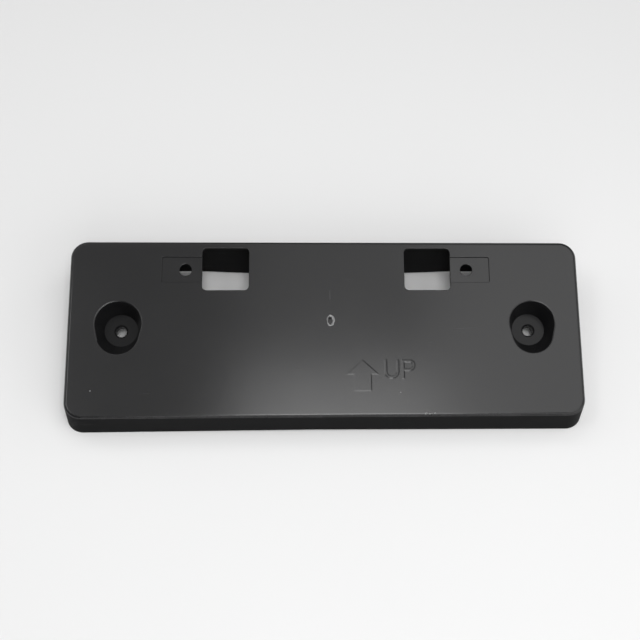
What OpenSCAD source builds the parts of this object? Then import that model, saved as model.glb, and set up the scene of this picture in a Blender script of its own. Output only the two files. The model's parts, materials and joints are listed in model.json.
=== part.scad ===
// Holder for a car number plate: one moulded wedge-shaped shell, open at the back.
// It lies on its rear edge, +Z up, with the top of its face toward +Y.
// Its origin is the centre of its footprint. All sizes are in millimetres and degrees.

/* [Face] */
// Width of the face
face_w = 379; // [370:1:420]
// Height of the face, measured along its slope
face_h = 135.2; // [126:0.2:160]
// Thickness of the face
face_t = 3; // [2:0.25:4]
// Radius of the four corners, seen from the front
corner_r = 12.5; // [8:0.5:18]
// Radius that rounds the face over into the skirts
edge_r = 2.5; // [1:0.25:3]

/* [Skirts] */
// Height of the skirt below the face's lower edge
low_skirt_h = 23.6; // [22:0.1:32]
// Height of the skirt below the face's upper edge
high_skirt_h = 46.6; // [40:0.2:52]
// Thickness of the skirts
skirt_t = 2.8; // [2:0.1:3.4]
// Flare of the lower skirt
low_draft = 4; // [1:0.5:5]
// Flare of the upper skirt
high_draft = 0.5; // [0.5:0.5:3]
// Flare of the two side skirts
side_draft = 2; // [0.5:0.5:4]
// Radius inside, where the skirts meet the back of the face
root_r = 2.5; // [1:0.25:4]

/* [Rear edge] */
// How far the lower skirt's rear edge arches up in its middle
low_arch = 2; // [0:0.1:3]
// How far the upper skirt's rear edge rises toward its ends
high_rise = 3; // [0:0.1:5]
// Half the length of the upper rear edge that stays level
level_half = 45; // [20:1:60]
// Distance over which the upper rear edge then rises
rise_run = 55; // [30:1:90]

/* [Plate fixings] */
// Distance between the two plate fixing holes
plate_pitch = 210; // [200:1:220]
// Distance of the plate fixing holes below the face's upper edge
plate_drop = 22.8; // [20:0.1:26]
// Diameter of the plate fixing holes
plate_hole_d = 9; // [6:0.5:11]
// Length of each clip seat, beside its window
seat_w = 29.6; // [22:0.1:30]
// Height of each clip seat
seat_h = 19.9; // [16:0.1:24]
// Depth of each clip seat below the face
seat_depth = 0.9; // [0.4:0.1:1.2]
// Corner radius at the outer end of each clip seat
seat_r = 1.2; // [0.5:0.1:2]
// Distance from a fixing hole's centre to the edge of its window
hole_to_window = 12.3; // [9:0.1:14]

/* [Windows] */
// Width of each window
window_w = 34.6; // [28:0.2:38]
// Height of each window
window_h = 33; // [26:0.2:34]
// Width of the face left above each window
window_rim = 5.9; // [4.5:0.1:7]
// Corner radius of the windows
window_r = 3.5; // [1.5:0.25:6]

/* [Screw wells] */
// Distance between the axes of the two screw wells
well_pitch = 306; // [300:1:308]
// Depth of the wells below the face
well_depth = 19; // [14:0.1:19.5]
// Radius of each well's round part at the face
well_top_r = 16.9; // [15.5:0.1:17.5]
// Radius of each well's floor
well_floor_r = 12.3; // [10:0.1:13]
// Distance of the well's axis above the middle of the face
well_rise = 3; // [2:0.1:6]
// Distance of the tool relief's axis below the well's axis
relief_drop = 8.5; // [6:0.1:10]
// Radius of the tool relief at the face
relief_top_r = 14.7; // [12:0.1:15]
// Distance of the screw hole's axis below the well's axis
screw_drop = 0.7; // [0:0.1:1.5]
// Diameter of the screw holes
screw_d = 8; // [6:0.5:9]
// Length of the screw holes, through the well's floor and its sleeve
screw_hole_l = 7.5; // [6:0.5:9]
// Depth of the countersink that leads a screw into its hole
lead_in = 1.1; // [0.4:0.1:1.5]
// Thickness of the well's walls and floor
well_t = 2.6; // [2:0.1:3.2]

/* [Ribs] */
// Thickness of the stiffening ribs
rib_t = 1.8; // [1.2:0.1:2.4]
// Height of the ribs below the back of the face
rib_h = 8; // [4:0.5:9]
// Distance of the inner pair of cross ribs from the middle
inner_rib_x = 42; // [30:1:50]
// Distance from each clip seat's end to its outer cross rib
seat_rib_gap = 4; // [2.5:0.5:5]

/* [Hidden] */
// Facets round a full circle
ring_facets = 96;
corner_facets = 48;
// Overshoot that lets a cut pass cleanly through a surface
over = 1;
// Depth that clears the root radius under the face
cut_depth = face_t + root_r + over;
// Slope of the face over the level rear edge
slope = asin((high_skirt_h - low_skirt_h) / face_h);
half_y = face_h / 2 * cos(slope);
mid_z = (low_skirt_h + high_skirt_h) / 2;
low_flare = low_skirt_h * tan(low_draft);
high_flare = high_skirt_h * tan(high_draft);
// Shift that centres the footprint on the origin
mid_y = (low_flare - high_flare) / 2;
// Thickness of the discs that a hull is drawn between
thin = 0.01;
sleeve_r = screw_d / 2 + well_t;
seat_end_x = plate_pitch / 2 - hole_to_window + seat_w;
outer_rib_x = seat_end_x + seat_rib_gap + rib_t / 2;
edge_steps = 48;

// Height of the face's plane over the floor, at distance y from its middle
function face_z(y) = mid_z + y * tan(slope);

// Height and flare angle of the skirt on one end: -1 is the lower, 1 the upper
function skirt_h(end) = end < 0 ? low_skirt_h : high_skirt_h;
function end_draft(end) = end < 0 ? low_draft : high_draft;

// Distance of an end skirt's outer surface from the middle, at height z
function end_y(end, z) = end * (half_y + (skirt_h(end) - z) * tan(end_draft(end)));

// Distance of a side skirt's outer surface from the middle, at height z near one end
function side_x(end, z) = face_w / 2 + (skirt_h(end) - z) * tan(side_draft);

// Lift of the lower and upper rear edges at x: half a cosine wave each
function low_lift(x) = low_arch * (1 + cos(360 * x / face_w)) / 2;
function high_lift(x) =
    high_rise * (1 - cos(180 * min(1, max(0, (abs(x) - level_half) / rise_run)))) / 2;

// Places its children on the middle of the face, with Z out of the face
module on_face() {
    translate([0, mid_y, mid_z]) rotate([slope, 0, 0]) children();
}

module rounded_rectangle(w, h, r) {
    union() {
        square([w - 2 * r, h], center = true);
        square([w, h - 2 * r], center = true);
        for (sx = [-1, 1], sy = [-1, 1])
            translate([sx * (w / 2 - r), sy * (h / 2 - r)]) circle(r, $fn = corner_facets);
    }
}

// Solid wedge: four rounded corners under the face, drawn down to four discs at rear_z
module wedge(inset, drop, round_r, rear_z) {
    plan_r = corner_r - inset;
    hull() for (side = [-1, 1], end = [-1, 1]) {
        top_z = face_z(end * (half_y - corner_r)) - drop / cos(slope);
        translate([side * (face_w / 2 - corner_r), mid_y + end * (half_y - corner_r), top_z])
            rotate([slope, 0, 0])
                rotate_extrude($fn = corner_facets)
                    translate([plan_r - round_r, 0]) circle(round_r, $fn = 24);
        translate([
            side * (side_x(end, rear_z) - corner_r),
            mid_y + end_y(end, rear_z) - end * corner_r,
            rear_z
        ]) cylinder(h = thin, r = plan_r, $fn = corner_facets);
    }
}

// Material cut off below the wavy rear edge of the skirts
module rear_trim() {
    xs = [for (i = [0:edge_steps]) (i / edge_steps - 0.5) * (face_w + 4 * corner_r)];
    reach = half_y + corner_r;
    start = half_y - corner_r;
    translate([0, -start, 0]) rotate([90, 0, 0]) linear_extrude(reach - start + over)
        polygon(concat(
            [for (x = xs) [x, abs(x) < face_w / 2 ? low_lift(x) : 0]],
            [[max(xs), -over], [min(xs), -over]]
        ));
    translate([0, reach + over, 0]) rotate([90, 0, 0]) linear_extrude(reach - start + over)
        polygon(concat(
            [for (x = xs) [x, high_lift(x)]],
            [[max(xs), -over], [min(xs), -over]]
        ));
    for (side = [-1, 1])
        translate([side * face_w / 2, 0, 0]) rotate([90, 0, 90])
            linear_extrude(4 * corner_r, center = true)
                polygon([[-start, 0], [start, high_rise], [start, -over], [-start, -over]]);
}

// Face and skirts, hollow and open at the rear
module shell() {
    difference() {
        wedge(0, edge_r, edge_r, 0);
        wedge(skirt_t, face_t + root_r, root_r, -over);
        rear_trim();
    }
}

// Cross rib under the face at x, let into the middle of both end skirts
module cross_rib(x) {
    low_z = low_skirt_h - (face_t + rib_h) / cos(slope);
    high_z = high_skirt_h - (face_t + rib_h) / cos(slope);
    seat = face_t / 2 / cos(slope);
    translate([x, mid_y, 0]) rotate([90, 0, 90]) linear_extrude(rib_t, center = true)
        polygon([
            [end_y(-1, low_skirt_h) + skirt_t / 2, low_skirt_h - seat],
            [end_y(1, high_skirt_h) - skirt_t / 2, high_skirt_h - seat],
            [end_y(1, high_z) - skirt_t / 2, high_z],
            [end_y(-1, low_z) + skirt_t / 2, low_z]
        ]);
}

// Long rib under the face, through both screw wells
module long_rib() {
    depth = face_t + rib_h;
    half = face_w / 2 - skirt_t / 2;
    on_face() translate([0, well_rise, 0]) rotate([90, 0, 0])
        linear_extrude(rib_t, center = true)
            polygon([
                [-half, -face_t / 2],
                [half, -face_t / 2],
                [half + depth * tan(side_draft), -depth],
                [-half - depth * tan(side_draft), -depth]
            ]);
}

module ribs() {
    for (x = [0, inner_rib_x, outer_rib_x, well_pitch / 2]) {
        cross_rib(x);
        if (x > 0) cross_rib(-x);
    }
    long_rib();
}

// Radius of a well's tapered wall at height up over the face, grown by a wall's thickness
function grown_r(top_r, lean, up, wall) = top_r + lean * up + wall * sqrt(1 + lean * lean);

// Egg-shaped well drawn from its mouth, with the tool relief, to its round floor.
// It makes the hollow, or the outer form when a wall and a floor are given.
module well_form(wall, floor) {
    up = wall > 0 ? -face_t / 2 : over;
    lean = (well_top_r - well_floor_r) / well_depth;
    relief_lean = (relief_top_r + relief_drop - well_floor_r) / well_depth;
    down = well_depth + floor;
    hull() {
        translate([0, 0, up])
            cylinder(h = thin, r = grown_r(well_top_r, lean, up, wall), $fn = corner_facets);
        translate([0, -relief_drop, up])
            cylinder(h = thin, r = grown_r(relief_top_r, relief_lean, up, wall), $fn = corner_facets);
        translate([0, 0, -down])
            cylinder(h = thin, r = grown_r(well_top_r, lean, -down, wall), $fn = corner_facets);
    }
}

module at_wells() {
    on_face() for (side = [-1, 1])
        translate([side * well_pitch / 2, well_rise, 0]) children();
}

// Walls of the wells, their floors and the sleeves behind them
module well_walls() {
    at_wells() {
        well_form(well_t, well_t);
        translate([0, -screw_drop, -well_depth - screw_hole_l])
            cylinder(h = screw_hole_l, r = sleeve_r, $fn = ring_facets);
    }
}

module well_cuts() {
    at_wells() {
        well_form(0, 0);
        translate([0, -screw_drop, -well_depth - screw_hole_l - over])
            cylinder(h = screw_hole_l + 2 * over, r = screw_d / 2, $fn = ring_facets);
        translate([0, -screw_drop, -well_depth - lead_in])
            cylinder(h = lead_in, r1 = screw_d / 2, r2 = screw_d / 2 + lead_in, $fn = ring_facets);
    }
}

// One window and the clip seat with its hole, on the side given by -1 or 1
module plate_fixing(side) {
    window_x = plate_pitch / 2 - hole_to_window - window_w / 2;
    on_face() translate([0, face_h / 2, 0]) {
        translate([side * window_x, -window_rim - window_h / 2, -cut_depth])
            linear_extrude(cut_depth + over) rounded_rectangle(window_w, window_h, window_r);
        translate([side * (seat_end_x - (seat_w + seat_r) / 2), -plate_drop, -seat_depth])
            linear_extrude(seat_depth + over) rounded_rectangle(seat_w + seat_r, seat_h, seat_r);
        translate([side * plate_pitch / 2, -plate_drop, -cut_depth])
            cylinder(h = cut_depth + over, r = plate_hole_d / 2, $fn = ring_facets);
    }
}

module plate_holder() {
    color([0.13, 0.13, 0.135]) difference() {
        union() {
            shell();
            ribs();
            well_walls();
        }
        well_cuts();
        plate_fixing(-1);
        plate_fixing(1);
    }
}

plate_holder();
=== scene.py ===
# A number plate holder lying on a pale board, seen from above and from its lower edge.
import json
import math

import bmesh
import bpy
import numpy as np
from mathutils import Matrix, Vector


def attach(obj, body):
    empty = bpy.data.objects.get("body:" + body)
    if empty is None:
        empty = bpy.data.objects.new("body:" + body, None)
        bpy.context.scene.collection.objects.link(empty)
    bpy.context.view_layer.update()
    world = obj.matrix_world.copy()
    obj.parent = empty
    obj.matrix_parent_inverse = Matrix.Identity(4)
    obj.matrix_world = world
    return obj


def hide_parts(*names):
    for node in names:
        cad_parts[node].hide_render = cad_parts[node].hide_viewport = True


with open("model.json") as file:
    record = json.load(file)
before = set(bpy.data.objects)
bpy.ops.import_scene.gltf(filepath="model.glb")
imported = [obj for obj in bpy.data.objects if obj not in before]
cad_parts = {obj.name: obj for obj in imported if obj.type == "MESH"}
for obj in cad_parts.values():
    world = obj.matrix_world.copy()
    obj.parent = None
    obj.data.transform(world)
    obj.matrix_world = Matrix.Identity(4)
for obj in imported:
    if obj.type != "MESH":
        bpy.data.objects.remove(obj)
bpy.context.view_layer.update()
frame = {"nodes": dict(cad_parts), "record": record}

# The moulding: face, skirts, windows, clip seats, screw wells and ribs in one shot of black plastic.
# It is injected through a gate in the middle of the face, and its edges come out slightly rounded.
# Places on the face are in millimetres: across from its middle, up its slope, and out of it.
MM = 0.001
WELD = 0.001 * MM
SHORT_EDGE = 0.1 * MM
FLAT_ANGLE = math.radians(1)

plate_face = {m["name"]: m for m in frame["record"]["mounts"]}["plate_face"]
face_middle = Vector(plate_face["pos_m"])
face_out = Vector(plate_face["axis"])
face_slope = math.atan2(-face_out.y, face_out.z)
on_face = Matrix.Translation(face_middle) @ Matrix.Rotation(face_slope, 4, "X")


def welded_copy(node):
    """A CAD node's mesh with its triangles joined, its flat sides made whole and its slivers closed."""
    form = bmesh.new()
    form.from_mesh(node.data)
    bmesh.ops.remove_doubles(form, verts=form.verts, dist=WELD)
    bmesh.ops.dissolve_limit(form, angle_limit=FLAT_ANGLE, verts=form.verts, edges=form.edges)
    bmesh.ops.dissolve_degenerate(form, dist=SHORT_EDGE, edges=form.edges)
    bmesh.ops.remove_doubles(form, verts=form.verts, dist=SHORT_EDGE)
    mesh = bpy.data.meshes.new("welded")
    form.to_mesh(mesh)
    form.free()
    return mesh


def new_piece(name, mesh):
    piece = bpy.data.objects.new(name, mesh)
    bpy.context.scene.collection.objects.link(piece)
    return piece


def surface(name, points, faces):
    """A mesh from points given as places on the face."""
    mesh = bpy.data.meshes.new(name)
    mesh.from_pydata((np.asarray(points) * MM).tolist(), [], [list(map(int, f)) for f in faces])
    mesh.transform(on_face)
    mesh.validate()
    return mesh


def tube_faces(rings, around, closed):
    """Faces of a tube whose points run ring by ring: quads between rings, and a cap on each open end."""
    ring, spot = np.meshgrid(np.arange(rings if closed else rings - 1), np.arange(around), indexing="ij")
    after = (ring + 1) % rings
    beside = (spot + 1) % around
    quads = np.stack([ring * around + spot, ring * around + beside,
                      after * around + beside, after * around + spot], axis=-1).reshape(-1, 4)
    caps = [] if closed else [np.arange(around)[::-1], (rings - 1) * around + np.arange(around)]
    return list(quads) + caps


# The direction mark: an arrow and the word UP, standing a little proud of the face with soft shoulders.
# It is cut into the mould, so it is one with the face. Its forms are sunk a little way into the face here.
MARK_HEIGHT = 0.2
MARK_FOOT = 0.004
MARK_RUN = 0.7
MARK_ROOT = 0.3
STROKE_HALF = 0.9


def shoulder():
    """The mark's side from its top down: distance out of its outline, and height over the face."""
    half = MARK_RUN / 2
    return [(-half, MARK_HEIGHT), (half, MARK_FOOT), (half, -MARK_ROOT)]


def ridge(path):
    """A stroke: the shoulder's section carried along the path on both sides, and round each end."""
    path = np.asarray(path, float)
    along = np.gradient(path, axis=0)
    along /= np.linalg.norm(along, axis=1)[:, None]
    aside = np.stack([-along[:, 1], along[:, 0]], axis=1)
    levels = shoulder()
    rings = []
    for side, order in ((1, levels), (-1, levels[::-1])):
        for out, height in order:
            half = STROKE_HALF + out
            spots = path + side * half * aside
            spots[0] -= half * along[0]
            spots[-1] += half * along[-1]
            rings.append(np.column_stack([spots, np.full(len(spots), height)]))
    points = np.stack(rings, axis=1).reshape(-1, 3)
    around = len(rings)
    # Rows of quads take the place of the tube's two caps.
    sides = tube_faces(len(path), around, False)[:-2]
    foot = np.arange(around // 2 - 1)
    near_end = np.stack([foot, foot + 1, around - 2 - foot, around - 1 - foot], axis=1)
    far_end = near_end[:, ::-1] + (len(path) - 1) * around
    return surface("ridge", points, sides + list(near_end) + list(far_end))


def arc(centre, radius, start, end, steps=14):
    """Points on a circle from one angle to another, in degrees."""
    turn = np.radians(np.linspace(start, end, steps))
    return [(centre[0] + radius * c, centre[1] + radius * s) for c, s in zip(np.cos(turn), np.sin(turn))]


def grown(outline, by):
    """A polygon's corners moved out by a distance, each along its mitre."""
    outline = np.asarray(outline, float)
    ahead = np.roll(outline, -1, axis=0) - outline
    ahead /= np.linalg.norm(ahead, axis=1)[:, None]
    out_ahead = np.stack([ahead[:, 1], -ahead[:, 0]], axis=1)
    out_behind = np.roll(out_ahead, 1, axis=0)
    mitre = out_ahead + out_behind
    return outline + by * mitre * 2 / (mitre ** 2).sum(1)[:, None]


def raised_field(outline):
    """A flat field with sloping sides: one ring of the grown outline at each step of the shoulder."""
    rings = [np.column_stack([grown(outline, out), np.full(len(outline), height)])
             for out, height in shoulder()]
    return surface("field", np.concatenate(rings), tube_faces(len(rings), len(outline), False))


ARROW_MIDDLE = 25.6
ARROW_TIP, ARROW_WINGS, ARROW_FOOT = -25.3, -36.1, -48.6
HEAD_HALF, SHAFT_HALF = 11.6, 6.3
arrow_half = [(0, ARROW_TIP), (-HEAD_HALF, ARROW_WINGS),
              (-SHAFT_HALF, ARROW_WINGS), (-SHAFT_HALF, ARROW_FOOT)]
arrow = [(ARROW_MIDDLE + x, y) for x, y in arrow_half]
arrow += [(ARROW_MIDDLE - x, y) for x, y in arrow_half[:0:-1]]

LETTER_TOP, LETTER_FOOT = -26.2, -38.5
BEFORE_TURN = 1
U_LEFT, U_RIGHT = 42.5, 51.4
u_radius = (U_RIGHT - U_LEFT) / 2
letter_u = [(U_LEFT, LETTER_TOP), (U_LEFT, LETTER_FOOT + u_radius + BEFORE_TURN)]
letter_u += arc((U_LEFT + u_radius, LETTER_FOOT + u_radius), u_radius, 180, 360)
letter_u += [(U_RIGHT, LETTER_FOOT + u_radius + BEFORE_TURN), (U_RIGHT, LETTER_TOP)]

P_STEM, P_TURN, P_RADIUS = 55.3, 59.95, 3.3
P_FOOT = -38.8
p_waist = LETTER_TOP - 2 * P_RADIUS
letter_p_stem = [(P_STEM, LETTER_TOP), (P_STEM, P_FOOT)]
letter_p_bowl = [(P_STEM, LETTER_TOP), (P_TURN - BEFORE_TURN, LETTER_TOP)]
letter_p_bowl += arc((P_TURN, LETTER_TOP - P_RADIUS), P_RADIUS, 90, -90)
letter_p_bowl += [(P_TURN - BEFORE_TURN, p_waist), (P_STEM, p_waist)]

# The pit left inside the gate's lip, where the sprue was snapped off.
PIT_PLACE = (1.9, 6.8)
PIT_RADIUS = 0.75
PIT_DEPTH = 0.55
PIT_CLEAR = 0.3
PIT_RINGS, PIT_AROUND = 6, 20
PIT_MOUTH, PIT_FALL, PIT_TIP = 1.4, 1.35, 0.02
PIT_LAST_RING = 0.98


def pit():
    """A dish turned about its own axis: the square of its radius falls evenly with its depth."""
    level = np.linspace(0, 1, PIT_RINGS)
    radius = PIT_RADIUS * np.sqrt(np.append(PIT_MOUTH - level * PIT_FALL, PIT_TIP))
    height = np.append(PIT_CLEAR - level * (PIT_DEPTH + PIT_CLEAR) * PIT_LAST_RING, -PIT_DEPTH)
    turn = np.linspace(0, 2 * math.pi, PIT_AROUND, endpoint=False)
    x = PIT_PLACE[0] + radius[:, None] * np.cos(turn)
    y = PIT_PLACE[1] + radius[:, None] * np.sin(turn)
    points = np.stack([x, y, np.repeat(height[:, None], PIT_AROUND, axis=1)], axis=-1).reshape(-1, 3)
    return surface("pit", points, [f[::-1] for f in tube_faces(len(radius), PIT_AROUND, False)])


def outward(mesh):
    """Turns a closed form's faces outward."""
    form = bmesh.new()
    form.from_mesh(mesh)
    bmesh.ops.recalc_face_normals(form, faces=form.faces)
    form.to_mesh(mesh)
    form.free()
    return mesh


def worked(piece, added, taken):
    """Joins some forms to the piece and takes others out of it, by exact Booleans, all in its mesh."""
    tools = []
    for operation, forms in (("UNION", added), ("DIFFERENCE", taken)):
        for form in forms:
            tool = new_piece("tool", outward(form))
            tools.append(tool)
            step = piece.modifiers.new("step", "BOOLEAN")
            step.operation = operation
            step.solver = "EXACT"
            step.object = tool
    bpy.context.view_layer.update()
    seen = piece.evaluated_get(bpy.context.evaluated_depsgraph_get())
    worked_mesh = bpy.data.meshes.new_from_object(seen)
    piece.modifiers.clear()
    piece.data = worked_mesh
    for tool in tools:
        bpy.data.objects.remove(tool)


moulding = new_piece("moulding", welded_copy(frame["nodes"]["plate_holder"]))
worked(moulding, [raised_field(arrow), ridge(letter_u), ridge(letter_p_stem), ridge(letter_p_bowl)], [pit()])

# Moulded edges are rounded, and the mouths of the screw wells are rounded most.
EDGE_ROUND = 0.9 * MM
EDGE_STEPS = 3
SMALL_ROUND = 0.42
SHARP_ANGLE = math.radians(35)
SEEN_DEPTH = 1.5 * MM
SLEEVE_DEPTH = 24 * MM
REAR_EDGE_TOP = 4.5 * MM
MOUTH_INNER = 130 * MM
MARK_BOX = ((10 * MM, 70 * MM), (-52 * MM, -22 * MM))
MARK_FLAT = math.radians(0.3)
FLAT_WEIGHT = 80


def mark_edges(mesh):
    """Gives bevel weight to the outward edges that are seen, and marks which edges shade as sharp.

    An edge is seen where it lies on the face, on the rear edge of the skirts or at a sleeve's end.
    """
    form = bmesh.new()
    form.from_mesh(mesh)
    weight = form.edges.layers.float.new("bevel_weight_edge")
    to_face = on_face.inverted()
    for edge in form.edges:
        edge.smooth = True
        if not edge.is_manifold:
            continue
        middle = (edge.verts[0].co + edge.verts[1].co) / 2
        spot = to_face @ middle
        turn = edge.calc_face_angle_signed(0)
        in_mark = all(low < way < high for way, (low, high) in zip(spot, MARK_BOX))
        if in_mark and abs(spot.z) < MARK_ROOT * MM:
            edge.smooth = abs(turn) < MARK_FLAT
        else:
            on_top = spot.z > -SEEN_DEPTH
            seen = on_top or spot.z < -SLEEVE_DEPTH or middle.z < REAR_EDGE_TOP
            if turn > SHARP_ANGLE and seen:
                at_mouth = on_top and abs(spot.x) > MOUTH_INNER
                edge[weight] = 1.0 if at_mouth else SMALL_ROUND
            elif abs(turn) > SHARP_ANGLE:
                edge.smooth = False
    for face in form.faces:
        face.smooth = True
    form.to_mesh(mesh)
    form.free()


mark_edges(moulding.data)
rounding = moulding.modifiers.new("rounded edges", "BEVEL")
rounding.limit_method = "WEIGHT"
rounding.width = EDGE_ROUND
rounding.segments = EDGE_STEPS
rounding.use_clamp_overlap = False
flats = moulding.modifiers.new("flat sides", "WEIGHTED_NORMAL")
flats.keep_sharp = True
flats.weight = FLAT_WEIGHT

# The Mix node's sockets for colours, which share their names with those for numbers.
COLOUR_A, COLOUR_B, COLOUR_OUT = 6, 7, 2


class Field:
    """A value, colour or place that varies over a surface. Sums on it add Math nodes to its tree."""

    def __init__(self, tree, socket=None):
        self.tree = tree
        self.socket = socket

    def node(self, kind, settings=None, inputs=None, output=0):
        """Adds one node: its settings first, then its inputs, each a number, a colour or a Field."""
        made = self.tree.nodes.new(kind)
        for name, value in (settings or {}).items():
            setattr(made, name, value)
        for name, value in (inputs or {}).items():
            if isinstance(value, Field):
                self.tree.links.new(value.socket, made.inputs[name])
            else:
                made.inputs[name].default_value = value
        return Field(self.tree, made.outputs[output])

    def maths(self, operation, first, second=0.0):
        return self.node("ShaderNodeMath", {"operation": operation}, {0: first, 1: second})

    def __add__(self, other):
        return self.maths("ADD", self, other)

    __radd__ = __add__

    def __sub__(self, other):
        return self.maths("SUBTRACT", self, other)

    def __rsub__(self, other):
        return self.maths("SUBTRACT", other, self)

    def __mul__(self, other):
        return self.maths("MULTIPLY", self, other)

    __rmul__ = __mul__

    def unsigned(self):
        return self.maths("ABSOLUTE", self)

    def root(self):
        return self.maths("SQRT", self)

    def at_least(self, other):
        return self.maths("MAXIMUM", self, other)

    def at_most(self, other):
        return self.maths("MINIMUM", self, other)

    def noise(self, scale, detail=2.0, roughness=0.5):
        """Cloudy noise over this place, from 0 to 1, with so many clouds in a metre."""
        return self.node("ShaderNodeTexNoise", {},
                         {"Vector": self, "Scale": scale, "Detail": detail, "Roughness": roughness})

    def stretched(self, scale):
        """This place with each axis multiplied by its own number."""
        return self.node("ShaderNodeVectorMath", {"operation": "MULTIPLY"}, {0: self, 1: scale})

    def part(self, axis):
        return self.node("ShaderNodeSeparateXYZ", {}, {"Vector": self}, axis)

    def ramp(self, low, high):
        """Smooth step from 0 at low to 1 at high."""
        return self.node("ShaderNodeMapRange", {"interpolation_type": "SMOOTHSTEP"},
                         {"Value": self, "From Min": low, "From Max": high, "To Min": 0.0, "To Max": 1.0})

    def blend(self, first, second):
        """Mixes two colours by this amount."""
        mix = self.tree.nodes.new("ShaderNodeMix")
        mix.data_type = "RGBA"
        self.tree.links.new(self.socket, mix.inputs["Factor"])
        for slot, colour in ((COLOUR_A, first), (COLOUR_B, second)):
            if isinstance(colour, Field):
                self.tree.links.new(colour.socket, mix.inputs[slot])
            else:
                mix.inputs[slot].default_value = (*colour, 1)
        return Field(self.tree, mix.outputs[COLOUR_OUT])

    def bumped(self, depth, under=None):
        """A normal from this height, whose 0 to 1 stands for a depth in metres."""
        inputs = {"Height": self, "Strength": 1.0, "Distance": depth}
        if under is not None:
            inputs["Normal"] = under
        return self.node("ShaderNodeBump", {}, inputs)


def new_material(name):
    """A principled material, its shader, and the field of Object coordinates."""
    material = bpy.data.materials.new(name)
    material.use_nodes = True
    tree = material.node_tree
    shader = tree.nodes["Principled BSDF"]
    place = Field(tree).node("ShaderNodeTexCoord", {}, {}, "Object")
    return material, shader, place


def feed(shader, **given):
    """Joins fields to the shader's inputs, whose names are written with underscores."""
    for name, value in given.items():
        value.tree.links.new(value.socket, shader.inputs[name.replace("_", " ")])


# The plastic: colours, index and roughness of the shiny face and of the dull sides. The dull sides' darker
# colour is painted shade.
PLASTIC = (0.0100, 0.0100, 0.0105)
SHADED_DULL_PLASTIC = (0.0070, 0.0070, 0.0073)
WORN = (0.045, 0.045, 0.047)
BRUISED = (0.16, 0.165, 0.165)
PLASTIC_INDEX, DULL_INDEX = 1.48, 1.13
FACE_GLOSS, DULL_ROUGH = 0.17, 0.6
GLOSS_DRIFT, DULL_DRIFT = 0.05, 0.1
WEAR_ROUGH, BRUISE_ROUGH = 0.10, 0.2
GRAIN_SCALE, GRAIN_DEPTH, DULL_GRAIN_DEPTH = 1500, 0.008 * MM, 0.02 * MM
PATCH_SCALE, PATCH_DEPTH, CLOUD_SCALE = 22, 0.03 * MM, 7
# Wear: the noise of each kind, the part of that noise that marks the plastic, and how strongly it shows.
HAIR_STRETCH, HAIR_CUT, HAIR_SHOWS = (14, 210, 14), (0.66, 0.74), 0.22
SMEAR_STRETCH, SMEAR_CUT, SMEAR_SHOWS = (60, 9, 9), (0.62, 0.80), 0.07
RUB_SCALE, RUB_CUT, RUB_SHOWS = 130, (0.42, 0.68), 0.38
# The face's outline, and the rubbed band along it: its width, and its reach down the side.
FACE_HALF_W, FACE_HALF_H, FACE_CORNER = 189.5, 67.6, 12.5
RIM_WIDTH, RIM_REACH = (-1.8 * MM, -0.2 * MM), (-3 * MM, -1.2 * MM)
# Small bruises on the face: across, up the slope, and radius. Their outlines are ragged.
BRUISES = ((-170.7, -47.5, 0.6), (71.1, -65.8, 0.8), (74.1, -66.0, 0.6),
           (77.7, -65.7, 0.7), (53.0, -49.9, 0.5))
RAG_SCALE, RAG_DEPTH = 900, 0.5 * MM
BRUISE_OUTER, BRUISE_INNER = 1.2, 0.5
# The faint line where the plastic's flow met itself above the gate: across, and from foot to top.
FLOW_LINE, FLOW_FOOT, FLOW_TOP, FLOW_FADE = 2.1, 20, 30, 2
FLOW_WIDTH = (0.6 * MM, 0.2 * MM)
FLOW_SCALE, FLOW_SHOWS = 400, 0.5
# Where the shine ends: round the wells' mouths and the face's edge it fades slowly down the rounding.
# On the seats' floors it is full, and elsewhere it stops sharply under the face. Some is left in the wells.
WELL_X, WELL_Y = 153.0, 3.0
WELL_REACH, EDGE_BAND = (27 * MM, 25 * MM), (-4.5 * MM, -3.5 * MM)
SEAT_FLOOR, SEAT_BAND = 0.9, (0.15 * MM, 0.05 * MM)
SHARP_STOP, SLOW_STOP = (-0.14 * MM, -0.03 * MM), (-2.2 * MM, -0.9 * MM)
WELL_SHINE = 0.38


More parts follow.
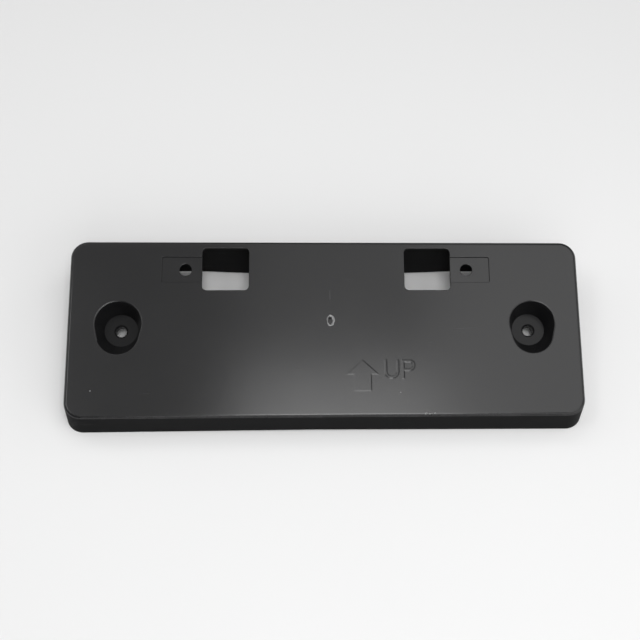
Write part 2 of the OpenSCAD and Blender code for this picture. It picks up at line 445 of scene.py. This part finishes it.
def black_plastic():
    """Moulded black plastic: a smooth face with a fine grain, and sides whose texture kills the shine.

    The face has patches of other gloss, faint hairlines, rubbed rims and a few bruises. The dull sides are
    painted darker as shade. In the wells they are painted lighter, in the face's colour, as light on the
    well walls.
    """
    material, shader, place = new_material("black plastic")
    shader.inputs["IOR"].default_value = PLASTIC_INDEX
    on_plate = place.node("ShaderNodeMapping", {"vector_type": "TEXTURE"}, {
        "Vector": place, "Location": tuple(face_middle), "Rotation": (face_slope, 0, 0)})
    across = on_plate.part(0)
    off_middle = across.unsigned()
    up = on_plate.part(1)
    height = on_plate.part(2)
    patches = place.noise(PATCH_SCALE, detail=3, roughness=0.55)
    cloud = place.noise(CLOUD_SCALE)
    grain = place.noise(GRAIN_SCALE)
    hairlines = on_plate.stretched(HAIR_STRETCH).noise(1, detail=4, roughness=0.6).ramp(*HAIR_CUT)
    smears = on_plate.stretched(SMEAR_STRETCH).noise(1, detail=3, roughness=0.6).ramp(*SMEAR_CUT)

    side = off_middle - (FACE_HALF_W - FACE_CORNER) * MM
    end = up.unsigned() - (FACE_HALF_H - FACE_CORNER) * MM
    out_x = side.at_least(0.0)
    out_y = end.at_least(0.0)
    reach = (out_x * out_x + out_y * out_y).root()
    inside = side.at_least(end).at_most(0.0)
    outline = reach + inside - FACE_CORNER * MM
    rim = outline.ramp(*RIM_WIDTH) * height.ramp(*RIM_REACH)
    rubbed = rim * place.noise(RUB_SCALE, detail=3, roughness=0.6).ramp(*RUB_CUT)

    bruise = None
    for x, y, radius in BRUISES:
        away = on_plate.node("ShaderNodeVectorMath", {"operation": "DISTANCE"},
                             {0: on_plate, 1: (x * MM, y * MM, 0)}, "Value")
        ragged = away + RAG_DEPTH * (place.noise(RAG_SCALE) - 0.5)
        spot = ragged.ramp(BRUISE_OUTER * radius * MM, BRUISE_INNER * radius * MM)
        bruise = spot if bruise is None else bruise.at_least(spot)

    flow_line = (across - FLOW_LINE * MM).unsigned().ramp(*FLOW_WIDTH)
    flow_line = flow_line * up.ramp(FLOW_FOOT * MM, (FLOW_FOOT + FLOW_FADE) * MM)
    flow_line = flow_line * up.ramp(FLOW_TOP * MM, (FLOW_TOP - FLOW_FADE) * MM)
    flow_line = flow_line * place.noise(FLOW_SCALE)

    wide = off_middle - WELL_X * MM
    high = up - WELL_Y * MM
    in_well = (wide * wide + high * high).root().ramp(*WELL_REACH)
    slow_zone = in_well.at_least(outline.ramp(*EDGE_BAND))
    seat_floor = (height + SEAT_FLOOR * MM).unsigned().ramp(*SEAT_BAND)
    sharp = seat_floor.at_least(height.ramp(*SHARP_STOP))
    slow = height.ramp(*SLOW_STOP)
    shine = (sharp + slow_zone * (slow - sharp)).at_least(WELL_SHINE * in_well)

    wear = RUB_SHOWS * rubbed + HAIR_SHOWS * hairlines + SMEAR_SHOWS * smears + FLOW_SHOWS * flow_line
    tone = bruise.blend(wear.blend(PLASTIC, WORN), BRUISED)
    rough = FACE_GLOSS + GLOSS_DRIFT * (patches - 0.5) + GLOSS_DRIFT * (cloud - 0.5)
    rough = rough + WEAR_ROUGH * wear + BRUISE_ROUGH * bruise
    relief = grain.bumped(GRAIN_DEPTH, patches.bumped(PATCH_DEPTH))
    feed(shader, Base_Color=tone, Roughness=rough, Normal=relief)
    # The dull sides' colour is painted shade. In the wells it turns to the face's lighter colour, which is
    # painted light on the well walls.
    dull = place.node("ShaderNodeBsdfPrincipled", {}, {
        "Base Color": wear.blend(in_well.blend(SHADED_DULL_PLASTIC, PLASTIC), WORN),
        "Roughness": DULL_ROUGH + DULL_DRIFT * (patches - 0.5),
        "IOR": DULL_INDEX,
        "Normal": grain.bumped(DULL_GRAIN_DEPTH)})
    shiny = Field(place.tree, shader.outputs["BSDF"])
    mixed = place.node("ShaderNodeMixShader", {}, {0: shine, 1: dull, 2: shiny})
    place.tree.links.new(mixed.socket, place.tree.nodes["Material Output"].inputs["Surface"])
    return material


moulding.data.materials.clear()
moulding.data.materials.append(black_plastic())
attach(moulding, "root")
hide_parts("plate_holder")

# The gate blush: a whitened oval lip round the place where the plastic was injected.
# It is part of the moulding and stands a fraction of a millimetre proud of the face.
BLUSH_MIDDLE = (2.3, 5.0)
BLUSH_HALF = (2.35, 3.75)
BLUSH_RADIUS = 0.62
BLUSH_HEIGHT = 0.16
# The lip's line wavers and its width changes round it: share, waves in a turn, and where they start.
LINE_WAVES = ((0.035, 3, 0.6), (0.02, 7, 2.0))
WIDE_SIDE, WIDE_TURN = 0.4, 0.2
WIDTH_WAVE, WIDTH_WAVES = 0.22, 5
WHITENED_LOW = (0.10, 0.10, 0.102)
WHITENED = (0.34, 0.34, 0.34)
STREAK_SCALE, STREAK_CUT = 700, (0.35, 0.65)
LIP_ROUGH, STREAK_ROUGH = 0.45, 0.2


def oval_lip(steps=72, around=12):
    """A ring round an ellipse whose size wavers a little; its section is a low flat oval, half sunk."""
    turn = np.linspace(0, 2 * math.pi, steps, endpoint=False)
    waver = 1 + sum(share * np.sin(waves * turn + start) for share, waves, start in LINE_WAVES)
    centre = np.stack([BLUSH_HALF[0] * np.cos(turn), BLUSH_HALF[1] * np.sin(turn)], axis=1) * waver[:, None]
    along = np.gradient(np.concatenate([centre[-1:], centre, centre[:1]]), axis=0)[1:-1]
    along /= np.linalg.norm(along, axis=1)[:, None]
    aside = np.stack([along[:, 1], -along[:, 0]], axis=1)
    swell = WIDE_SIDE * np.cos(turn - WIDE_TURN) + WIDTH_WAVE * np.sin(WIDTH_WAVES * turn)
    width = BLUSH_RADIUS * (1 + swell)
    section = np.linspace(0, 2 * math.pi, around, endpoint=False)
    out = (width[:, None] * np.cos(section))[..., None] * aside[:, None, :]
    height = np.repeat(BLUSH_HEIGHT * np.sin(section)[None, :], steps, axis=0)
    flat = centre[:, None, :] + out + np.asarray(BLUSH_MIDDLE)
    points = np.concatenate([flat, height[..., None]], axis=-1).reshape(-1, 3)
    return surface("gate_blush", points, tube_faces(steps, around, True))


def whitened_plastic():
    """Stressed plastic: pale streaks that fade into the black."""
    material, shader, place = new_material("whitened plastic")
    shader.inputs["IOR"].default_value = PLASTIC_INDEX
    streaks = place.noise(STREAK_SCALE, detail=3, roughness=0.6).ramp(*STREAK_CUT)
    feed(shader, Base_Color=streaks.blend(WHITENED_LOW, WHITENED),
         Roughness=LIP_ROUGH + STREAK_ROUGH * streaks,
         Normal=place.noise(GRAIN_SCALE).bumped(DULL_GRAIN_DEPTH))
    return material


gate_blush = new_piece("gate_blush", outward(oval_lip()))
gate_blush.data.polygons.foreach_set("use_smooth", np.ones(len(gate_blush.data.polygons), bool))
gate_blush.data.materials.append(whitened_plastic())
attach(gate_blush, "root")

# The board that the holder lies on, plain and pale, with a slight cloudiness in its tone.
# It is the floor of the scene and not part of the object.
BOARD_HALF = 3.0
BOARD_TONE = (0.83, 0.83, 0.83)
BOARD_SHADE = 0.97
BOARD_CLOUDS = 3
BOARD_ROUGH, BOARD_DRIFT = 0.55, 0.1


def pale_board():
    material, shader, place = new_material("pale board")
    cloud = place.noise(BOARD_CLOUDS)
    tone = cloud.blend(BOARD_TONE, tuple(BOARD_SHADE * c for c in BOARD_TONE))
    feed(shader, Base_Color=tone, Roughness=BOARD_ROUGH + BOARD_DRIFT * cloud)
    return material


corners = [(-BOARD_HALF, -BOARD_HALF, 0), (BOARD_HALF, -BOARD_HALF, 0),
           (BOARD_HALF, BOARD_HALF, 0), (-BOARD_HALF, BOARD_HALF, 0)]
board_mesh = bpy.data.meshes.new("board")
board_mesh.from_pydata(corners, [], [(0, 1, 2, 3)])
board = new_piece("board", board_mesh)
board.data.materials.append(pale_board())

# Soft light: a dim room with panels of unlike brightness under its ceiling, brightest over the lower
# edge of the holder, and weaker ones like windows and walls in front and at the sides.
ROOM_GLOW = 0.12
CEILING = 1.6


def panel(name, place, aim, size, strength):
    """A rectangular lamp whose strength is the brightness of its face, 1 being white."""
    lamp = bpy.data.lights.new(name, "AREA")
    lamp.shape = "RECTANGLE"
    lamp.size, lamp.size_y = size
    lamp.energy = strength * math.pi * size[0] * size[1]
    lamp_object = bpy.data.objects.new(name, lamp)
    bpy.context.scene.collection.objects.link(lamp_object)
    lamp_object.location = place
    lamp_object.rotation_euler = (Vector(aim) - Vector(place)).to_track_quat("-Z", "Y").to_euler()


def ceiling_panel(name, left, right, near, far, strength):
    """A panel under the ceiling that faces straight down, between two pairs of edges."""
    middle = ((left + right) / 2, (near + far) / 2)
    panel(name, (*middle, CEILING), (*middle, 0), (right - left, far - near), strength)


ceiling_panel("left ceiling", -0.62, -0.14, -0.50, 0.45, 0.42)
ceiling_panel("side ceiling", -1.05, -0.62, -0.30, 0.30, 4.0)
ceiling_panel("far left ceiling", -1.50, -0.20, 0.60, 1.30, 1.5)
ceiling_panel("far ceiling", -0.20, 0.50, 0.60, 1.20, 1.3)
ceiling_panel("middle ceiling", -0.14, 0.25, 0.09, 0.52, 1.0)
ceiling_panel("right ceiling", 0.25, 0.95, -0.50, 0.52, 1.75)
ceiling_panel("front ceiling", -0.14, 0.25, -0.22, 0.085, 4.5)
ceiling_panel("near ceiling", -0.20, 0.34, -0.62, -0.22, 8.5)
ceiling_panel("nearest ceiling", -0.20, 0.34, -1.05, -0.62, 6.0)
panel("front window", (0.1, -1.7, 1.1), (0.1, 0, 0.2), (1.1, 1.3), 1.4)
panel("side window", (1.25, -1.15, 1.0), (0, 0, 0.1), (1.3, 1.3), 1.7)
panel("left wall", (-1.5, 0.5, 0.7), (0, 0.5, 0.7), (1.4, 1.4), 0.7)
panel("right wall", (1.5, 0.3, 0.7), (0, 0.3, 0.7), (1.8, 1.4), 0.8)
world = bpy.data.worlds.new("room")
world.use_nodes = True
world.node_tree.nodes["Background"].inputs["Color"].default_value = (1, 1, 1, 1)
world.node_tree.nodes["Background"].inputs["Strength"].default_value = ROOM_GLOW
bpy.context.scene.world = world

# The camera looks down on the face from in front of its lower edge, turned a little as it was held.
# Its small sideways shift stands for a picture cropped on one side.
CAMERA_PLACE = Vector((-18.79, -407.515, 864.005)) * MM
CAMERA_AIM = Vector((44.88, 5.392, 35.1)) * MM
CAMERA_ROLL = math.radians(7.71306)
CAMERA_LENS = 70.3125
CAMERA_SENSOR = 36
CAMERA_SHIFT = (-0.10595, 0.00159)
camera_data = bpy.data.cameras.new("camera")
camera_data.lens = CAMERA_LENS
camera_data.sensor_width = CAMERA_SENSOR
camera_data.shift_x, camera_data.shift_y = CAMERA_SHIFT
camera = bpy.data.objects.new("camera", camera_data)
bpy.context.scene.collection.objects.link(camera)
look = (CAMERA_AIM - CAMERA_PLACE).to_track_quat("-Z", "Y").to_matrix().to_4x4()
camera.matrix_world = Matrix.Translation(CAMERA_PLACE) @ look @ Matrix.Rotation(CAMERA_ROLL, 4, "Z")
bpy.context.scene.camera = camera
bpy.context.scene.view_settings.view_transform = "Standard"
